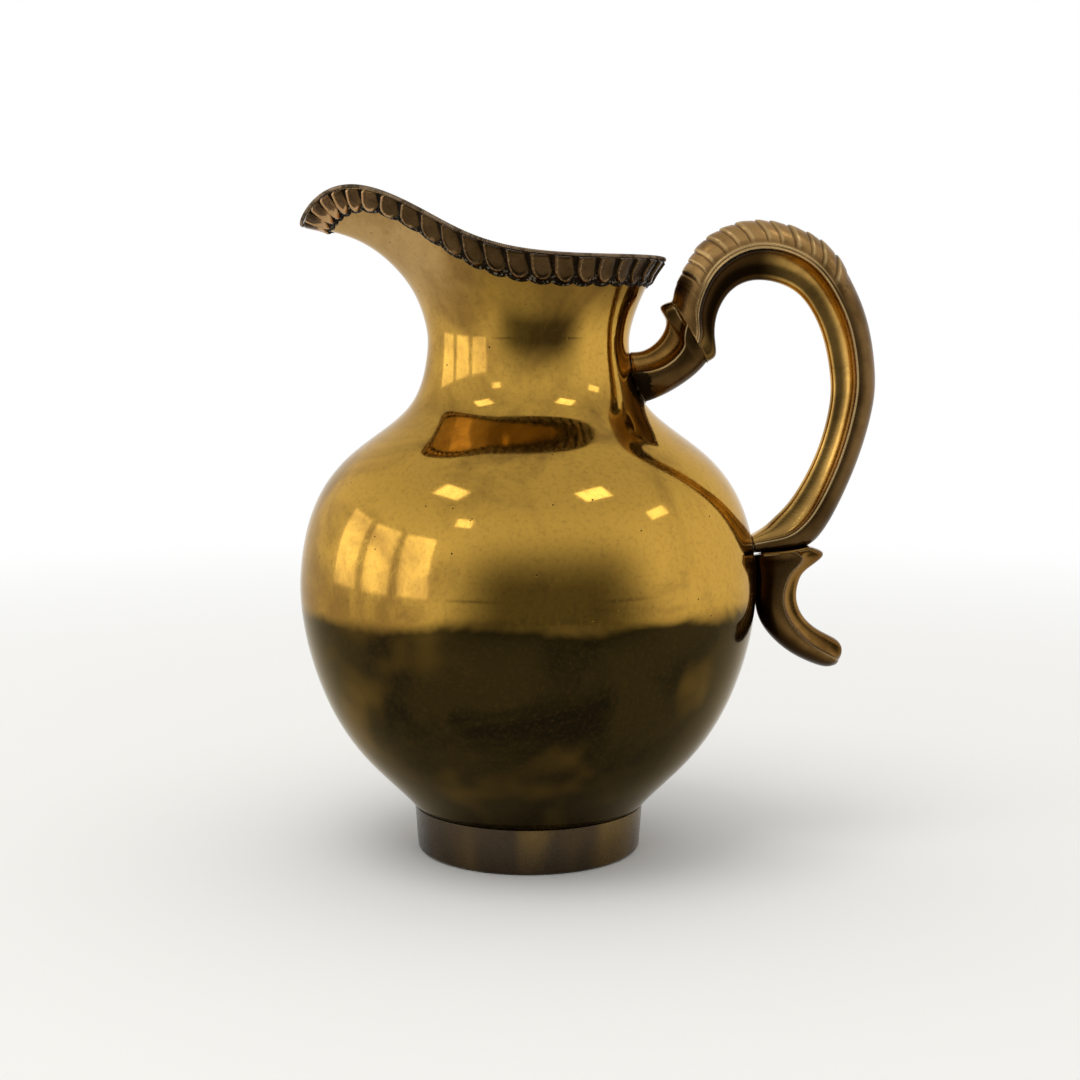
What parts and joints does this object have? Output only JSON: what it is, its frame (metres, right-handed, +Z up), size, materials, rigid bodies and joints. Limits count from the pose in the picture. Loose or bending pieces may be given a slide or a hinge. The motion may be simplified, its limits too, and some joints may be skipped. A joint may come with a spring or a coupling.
{
  "type": "pitcher",
  "caption": "Round-bellied brass pitcher with a foot ring, a raised spout with a lobed cast border, and a scroll handle.",
  "frame": {"origin": "centre of the foot ring's standing face, on the axis of the belly", "axes": "+Z up along the axis of the belly, +X towards the handle, -X towards the spout, the handle lies in the XZ plane"},
  "size_m": [0.1958, 0.1558, 0.2242],
  "materials": {
    "polished_brass": "mirror polish with age: fine scratches, dark pits and mottled tarnish",
    "tarnished_foot": "dull polish under grey-brown tarnish",
    "rim_wire": "satin, finely milled",
    "border_casting": "satin casting with near-black recesses and rubbed high spots",
    "handle_casting": "satin casting, brown tarnish with golden rubbed coves",
    "dark_solder": "rough, dark grey"
  },
  "bodies": {
    "root": {"lower_bowl": "polished_brass", "upper_body": "polished_brass", "foot_ring": "tarnished_foot", "foot_solder": "dark_solder", "rim_wire": "rim_wire", "rim_border_near": "border_casting", "rim_border_far": "border_casting", "handle_bracket": "handle_casting", "handle_arch": "handle_casting", "handle_tail": "handle_casting", "bracket_solder": "dark_solder", "arch_solder": "dark_solder", "tail_solder": "dark_solder"}
  },
  "joints": []
}
